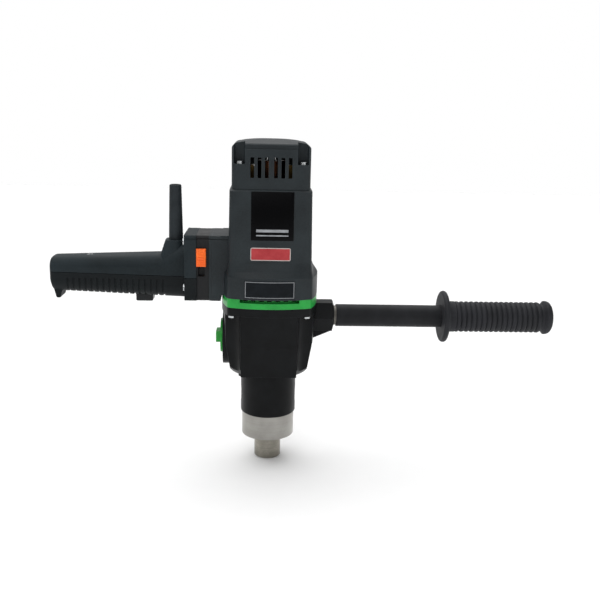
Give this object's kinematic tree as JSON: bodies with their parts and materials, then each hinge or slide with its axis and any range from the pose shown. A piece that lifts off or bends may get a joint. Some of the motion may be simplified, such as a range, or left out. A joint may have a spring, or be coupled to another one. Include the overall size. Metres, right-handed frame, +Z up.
{
  "type": "power drill",
  "caption": "Heavy two-handed electric drill, spindle down, with a geared spindle, clamping collar, trigger handle, side handle and gear selector.",
  "frame": {"origin": "centre of the clamping collar's lower face, on the spindle axis", "axes": "+Z up the spindle axis to the motor, +X to the side handle, the tool's front faces -Y"},
  "size_m": [0.5387, 0.1018, 0.3498],
  "materials": {
    "motor_plastic": "dark grey glass-filled nylon, fine grain",
    "handle_plastic": "dark grey nylon, fine grain",
    "trigger_plastic": "black plastic",
    "case_paint": "die-cast aluminium, black satin paint",
    "green_paint": "die-cast aluminium, green paint",
    "green_plastic": "green plastic",
    "orange_plastic": "orange plastic",
    "collar_steel": "turned and ground steel",
    "spindle_steel": "ground steel",
    "zinc_screws": "bright zinc plate",
    "gear_steel": "hardened and ground",
    "bearing_steel": "polished",
    "lamination_steel": "stacked laminations",
    "copper": "enamelled copper",
    "brass": "plain brass",
    "spring_steel": "spring wire",
    "carbon": "pressed carbon",
    "inner_plastic": "moulded plastic",
    "seal_rubber": "nitrile rubber",
    "sleeve_rubber": "soft matt rubber",
    "grip_rubber": "ribbed matt rubber",
    "washer_metal": "plain washer",
    "tube_paint": "black powder coat on steel"
  },
  "bodies": {
    "drill_body": {"motor_cap": "motor_plastic", "motor_housing": "motor_plastic", "handle_joint_plate": "motor_plastic", "handle_upper_shell": "handle_plastic", "handle_lower_shell": "handle_plastic", "switch_housing": "trigger_plastic", "gear_housing": "case_paint", "gearcase_cover": "green_paint", "clamping_collar": "collar_steel", "gearcase_screws": "zinc_screws", "cap_screws": "zinc_screws", "handle_shell_screws": "zinc_screws", "handle_flange_screws": "zinc_screws", "fork_rod": "gear_steel", "side_handle_stud": "gear_steel", "spindle_lower_bearing": "bearing_steel", "spindle_upper_bearing": "bearing_steel", "layshaft_bearing": "bearing_steel", "motor_lower_bearing": "bearing_steel", "motor_upper_bearing": "bearing_steel", "stator_core": "lamination_steel", "field_coils": "copper", "brush_holders": "brass", "layshaft_bush": "brass", "brush_springs": "spring_steel", "carbon_brushes": "carbon", "air_guide_ring": "inner_plastic", "trigger_switch": "inner_plastic", "direction_switch": "inner_plastic", "cable_clamp": "inner_plastic", "spindle_seal": "seal_rubber", "strain_relief": "sleeve_rubber", "side_handle_grip": "grip_rubber", "side_handle_washer": "washer_metal", "side_handle_tube": "tube_paint"},
    "armature": {"armature_shaft": "gear_steel", "armature_core": "lamination_steel", "armature_windings": "copper", "commutator": "copper", "fan": "inner_plastic"},
    "layshaft_unit": {"layshaft": "gear_steel", "intermediate_gear": "gear_steel"},
    "spindle_unit": {"spindle": "spindle_steel"},
    "low_wheel": {"low_gear_wheel": "gear_steel"},
    "high_wheel": {"high_gear_wheel": "gear_steel"},
    "sleeve": {"shift_sleeve": "gear_steel"},
    "fork": {"shift_fork": "gear_steel"},
    "selector": {"gear_selector": "green_plastic", "selector_retainer": "gear_steel"},
    "trigger_unit": {"trigger": "trigger_plastic"},
    "slider": {"direction_slider": "orange_plastic"}
  },
  "joints": [
    {"name": "armature_spin", "type": "hinge", "parent": "drill_body", "child": "armature", "pos_m": [0, 0, 0.23], "axis": [0, 0, 1], "continuous": true},
    {"name": "layshaft_spin", "type": "hinge", "parent": "drill_body", "child": "layshaft_unit", "pos_m": [0, 0.024, 0.11], "axis": [0, 0, 1], "continuous": true},
    {"name": "spindle_spin", "type": "hinge", "parent": "drill_body", "child": "spindle_unit", "pos_m": [0, 0, 0.04], "axis": [0, 0, 1], "continuous": true},
    {"name": "low_wheel_spin", "type": "hinge", "parent": "drill_body", "child": "low_wheel", "pos_m": [0, 0, 0.093], "axis": [0, 0, 1], "continuous": true},
    {"name": "high_wheel_spin", "type": "hinge", "parent": "drill_body", "child": "high_wheel", "pos_m": [0, 0, 0.13], "axis": [0, 0, 1], "continuous": true},
    {"name": "selector_turn", "type": "hinge", "parent": "drill_body", "child": "selector", "pos_m": [-0.05, 0, 0.11101], "axis": [1, 0, 0], "range_deg": [0, 90]},
    {"name": "fork_slide", "type": "slide", "parent": "drill_body", "child": "fork", "axis": [0, 0, 1], "range_m": [0, 0.00707]},
    {"name": "sleeve_slide", "type": "slide", "parent": "spindle_unit", "child": "sleeve", "axis": [0, 0, 1], "range_m": [0, 0.0072]},
    {"name": "trigger_press", "type": "slide", "parent": "drill_body", "child": "trigger_unit", "axis": [0, 0, 1], "range_m": [0, 0.0055], "stiffness_N_per_m": 800, "springref_m": -0.003},
    {"name": "direction_slide", "type": "slide", "parent": "drill_body", "child": "slider", "axis": [0, 0, -1], "range_m": [0, 0.016]}
  ],
  "couplings": [
    {"joint": "layshaft_spin", "follows": "armature_spin", "ratio": -0.23077},
    {"joint": "spindle_spin", "follows": "armature_spin", "ratio": 0.076923},
    {"joint": "low_wheel_spin", "follows": "armature_spin", "ratio": 0.076923},
    {"joint": "high_wheel_spin", "follows": "armature_spin", "ratio": 0.13846},
    {"joint": "selector_turn", "follows": "fork_slide", "rad_per_m": 222.14},
    {"joint": "sleeve_slide", "follows": "fork_slide", "ratio": 1}
  ]
}
